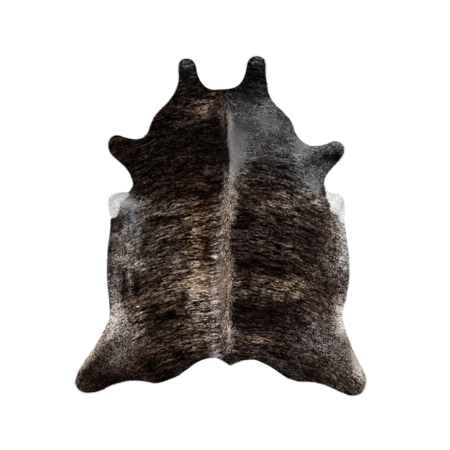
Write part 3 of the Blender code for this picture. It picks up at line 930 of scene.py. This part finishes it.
def make_skin(rim, heights):
    """A closed sheet on the solid's underside, with a material for each of its sides."""
    edge = soft_shift(rim, CUT_WAVE)
    flat = np.vstack([edge, field_points(edge, SKIN_STEP)])
    face = [list(range(len(edge)))]
    points, _, faces, *_ = delaunay_2d_cdt([Vector(p) for p in flat], [], face, 1, 1e-6)
    places = np.array(points)
    base = bpy.data.meshes.new("skin_sheet")
    rows = np.column_stack([places, heights.underside(places)])
    base.from_pydata(rows.tolist(), [], faces)
    sheet = bpy.data.objects.new("hide_skin", base)
    bpy.context.scene.collection.objects.link(sheet)
    if base.polygons[0].normal.z < 0:
        base.flip_normals()
    solidify = sheet.modifiers.new("thickness", "SOLIDIFY")
    solidify.thickness = SKIN_THICKNESS
    solidify.offset = 1.0
    evaluated = sheet.evaluated_get(bpy.context.evaluated_depsgraph_get())
    mesh = bpy.data.meshes.new_from_object(evaluated)
    sheet.modifiers.clear()
    sheet.data = mesh
    bpy.data.meshes.remove(base)

    for material in (skin_material(), suede_material(), cut_edge_material()):
        mesh.materials.append(material)
    for polygon in mesh.polygons:
        up = polygon.normal.z
        polygon.material_index = 0 if up > LYING_FLAT else 1 if up < -LYING_FLAT else 2
        polygon.use_smooth = abs(up) > LYING_FLAT
    where = np.array([vertex.co[:2] for vertex in mesh.vertices])
    _, flow_points = hair_flow(where)
    set_coat(mesh, flow_points, np.full(len(where), 0.5), markings(where))
    return sheet


# ------------------------ the hair

def lock_roots(rim, random):
    """One place in each square of a grid over the skin, kept if it is on the skin."""
    low, high = rim.min(axis=0), rim.max(axis=0)
    count = np.ceil((high - low) / LOCK_PITCH).astype(int)
    grid = np.stack(np.meshgrid(*[np.arange(n) for n in count], indexing="ij"), axis=-1)
    points = low + (grid.reshape(-1, 2) + random.uniform(0, 1, (count.prod(), 2))) * LOCK_PITCH
    points = points[inside(points, rim)]
    return points[rim_distance(points, rim) > LOCK_CLEARANCE]


def shortened(roots, way, length, rim, random):
    """Lock lengths, cut back where the tip would pass the outline by more than the overhang."""
    allowed = OVERHANG * random.uniform(OVERHANG_LEAST, 1.0, len(roots)) ** OVERHANG_POWER
    near = np.flatnonzero(rim_distance(roots, rim) < length.max() * 1.1)
    for _ in range(TRIMS):
        tips = roots[near] + way[near] * length[near, None]
        past = np.where(inside(tips, rim), 0.0, rim_distance(tips, rim))
        over = near[past > allowed[near]]
        length[over] *= TRIM_SHARE
        near = over
    return length


def lock_points(roots, way, length, heights, random):
    """Points of every lock: a pair for each row but the last, and one for the tip."""
    count = len(roots)
    across = np.column_stack([-way[:, 1], way[:, 0]])
    width = LOCK_WIDTH * random.uniform(*LOCK_WIDTHS, count)
    roll = random.normal(0.0, LOCK_ROLL, count)
    bow = random.normal(0.0, LOCK_BOW, count) * length
    rise = random.uniform(*LOCK_RISES, count)
    places = []
    for row, (share, height) in enumerate(zip(ROWS, ROW_HEIGHTS)):
        bent = bow * 4 * share * (1 - share) + bow * TIP_BOW * share
        middle = roots + way * (length * share)[:, None] + across * bent[:, None]
        depth = heights.coat_depth(middle)
        z = heights.underside(middle) + SKIN_THICKNESS + depth * height * rise
        if row == len(ROWS) - 1:
            places.append(np.column_stack([middle, z]))
            continue
        half = width * ROW_WIDTHS[row] / 2
        for side in (-1, 1):
            edge = middle + across * (side * half * np.cos(roll))[:, None]
            lifted = np.maximum(z + side * half * np.sin(roll),
                                heights.underside(edge) + SKIN_THICKNESS * 0.9)
            places.append(np.column_stack([edge, lifted]))
    return np.stack(places, axis=1), width


def lock_mesh(name, points, width, length, flow_points, marks, random):
    """The locks as one mesh: two four-sided faces and a tip each."""
    count, each = points.shape[:2]
    quads = [(0, 1, 3, 2), (2, 3, 5, 4)]
    tip = (4, 5, 6)
    start = np.arange(count)[:, None] * each
    corners = np.concatenate([start + np.array(quads[0]), start + np.array(quads[1]),
                              start + np.array(tip)], axis=1)
    sizes = np.tile([4, 4, 3], count)
    mesh = bpy.data.meshes.new(name)
    mesh.vertices.add(count * each)
    mesh.vertices.foreach_set("co", points.astype(np.float32).ravel())
    mesh.loops.add(corners.size)
    mesh.loops.foreach_set("vertex_index", corners.astype(np.int32).ravel())
    mesh.polygons.add(sizes.size)
    starts = np.concatenate([[0], np.cumsum(sizes)[:-1]]).astype(np.int32)
    mesh.polygons.foreach_set("loop_start", starts)
    mesh.update(calc_edges=True)
    mesh.shade_smooth()

    set_coat(mesh, np.repeat(flow_points, each, axis=0),
             np.repeat(random.uniform(0, 1, count), each), np.repeat(marks, each, axis=0))

    # where each point lies on its lock: metres off its middle line, metres from its root, and
    # share of the way to its tip
    sides = np.append(np.repeat(ROW_WIDTHS, 2) * np.tile([-1, 1], len(ROW_WIDTHS)), 0.0) / 2
    shares = np.repeat(ROWS, [2, 2, 2, 1])
    apart = np.repeat(random.uniform(0, 0.5, count), each)      # no two locks have like hairs
    own = np.column_stack([(width[:, None] * sides).ravel() + apart,
                           (length[:, None] * shares).ravel(), np.tile(shares, count)])
    set_attribute(mesh, "strand", "FLOAT_VECTOR", "vector", own)

    # a square of the baked image for each lock, with a margin round it
    squares = int(np.ceil(np.sqrt(count)))
    cell = np.column_stack([np.arange(count) % squares, np.arange(count) // squares])
    fill, margin = 0.84, 0.08
    spot = np.column_stack([0.5 + sides * fill, margin + shares * fill])
    uv = (cell[:, None, :] + spot[None]) / squares
    layer = mesh.uv_layers.new(name="OFBake")
    layer.uv.foreach_set("vector", uv.reshape(-1, 2)[corners.ravel()].astype(np.float32).ravel())
    return mesh


def make_coat(skin_rim, rim, heights):
    """The coat as joined meshes, one behind the other from the neck to the hind legs."""
    random = np.random.default_rng(SEED)
    roots = lock_roots(skin_rim, random)
    angle, flow_points = hair_flow(roots)
    marks = markings(roots)
    turn = random.normal(0.0, LOCK_TURN, len(roots))
    angle = angle + turn * (1.0 + MOTTLED_TURN * marks[:, 3])
    length = LOCK_LENGTH * random.uniform(*LOCK_LENGTHS, len(roots))
    away = np.abs(off_parting(roots))
    length *= 1.0 - (1.0 - LEG_LENGTH_SHARE) * ease((away - LEG_START) / LEG_FADE)
    way = np.column_stack([np.cos(angle), np.sin(angle)])
    length = shortened(roots, way, length, rim, random)
    points, width = lock_points(roots, way, length, heights, random)
    material = hair_material()
    order = np.argsort(-roots[:, 1], kind="stable")
    pieces = []
    for place, chosen in zip(COAT_NAMES, np.array_split(order, len(COAT_NAMES))):
        name = f"coat_{place}"
        mesh = lock_mesh(name, points[chosen], width[chosen], length[chosen],
                         flow_points[chosen], marks[chosen], random)
        mesh.materials.append(material)
        piece = bpy.data.objects.new(name, mesh)
        bpy.context.scene.collection.objects.link(piece)
        pieces.append(piece)
    return pieces


# ------------------------ floor, light and camera

WORLD_STRENGTH = 0.35
FLOOR_SIDE = 40.0
FLOOR_GAP = 0.0003              # keeps the floor's face off the skin's
LENS, SENSOR = 85.0, 36.0       # millimetres

Lamp = namedtuple("Lamp", "name place side power")
LAMPS = (
    Lamp("soft_light_left", (-4.2, 1.8, 4.0), 3.4, 230.0),
    Lamp("soft_light_right", (4.4, 0.8, 4.0), 3.4, 170.0),
    Lamp("soft_light_tail", (0.4, -4.8, 4.0), 3.4, 130.0),
)


def make_floor():
    bpy.ops.mesh.primitive_plane_add(size=FLOOR_SIDE, location=(0.0, 0.0, -FLOOR_GAP))
    floor = bpy.context.object
    floor.name = "floor"
    floor.data.materials.append(floor_material())


def make_lights():
    for lamp in LAMPS:
        data = bpy.data.lights.new(lamp.name, "AREA")
        data.energy = lamp.power
        data.size = lamp.side
        light = bpy.data.objects.new(lamp.name, data)
        light.location = lamp.place
        light.rotation_euler = (-Vector(lamp.place)).to_track_quat("-Z", "Y").to_euler()
        bpy.context.scene.collection.objects.link(light)
    world = bpy.data.worlds.new("studio")
    world.use_nodes = True
    background = world.node_tree.nodes["Background"]
    background.inputs["Color"].default_value = (1.0, 1.0, 1.0, 1.0)
    background.inputs["Strength"].default_value = WORLD_STRENGTH
    bpy.context.scene.world = world


def make_camera():
    """Straight above, at the height from which the frame holds what the photograph's does."""
    data = bpy.data.cameras.new("camera")
    data.lens = LENS
    data.sensor_width = SENSOR
    camera = bpy.data.objects.new("camera", data)
    middle = PHOTO_SIDE / 2
    across = (middle - HIDE_CENTRE_PIXEL[0]) * PIXEL
    along = (HIDE_CENTRE_PIXEL[1] - middle) * PIXEL
    camera.location = (across, along, PHOTO_SIDE * PIXEL * LENS / SENSOR)
    bpy.context.scene.collection.objects.link(camera)
    bpy.context.scene.camera = camera
    bpy.context.scene.view_settings.view_transform = "Standard"


# ------------------------ the whole

def main():
    solid = clean_solid()
    heights = Heights(solid)
    rim = rounded(even_steps(outline(solid), RIM_STEP), RIM_SMOOTHINGS)
    solid.free()
    skin_rim = inset(rim, SKIN_INSET)
    skin = make_skin(skin_rim, heights)
    coat = make_coat(skin_rim, rim, heights)
    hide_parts("hide")
    for piece in [skin, *coat]:
        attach(piece, "root")
    make_floor()
    make_lights()
    make_camera()


main()
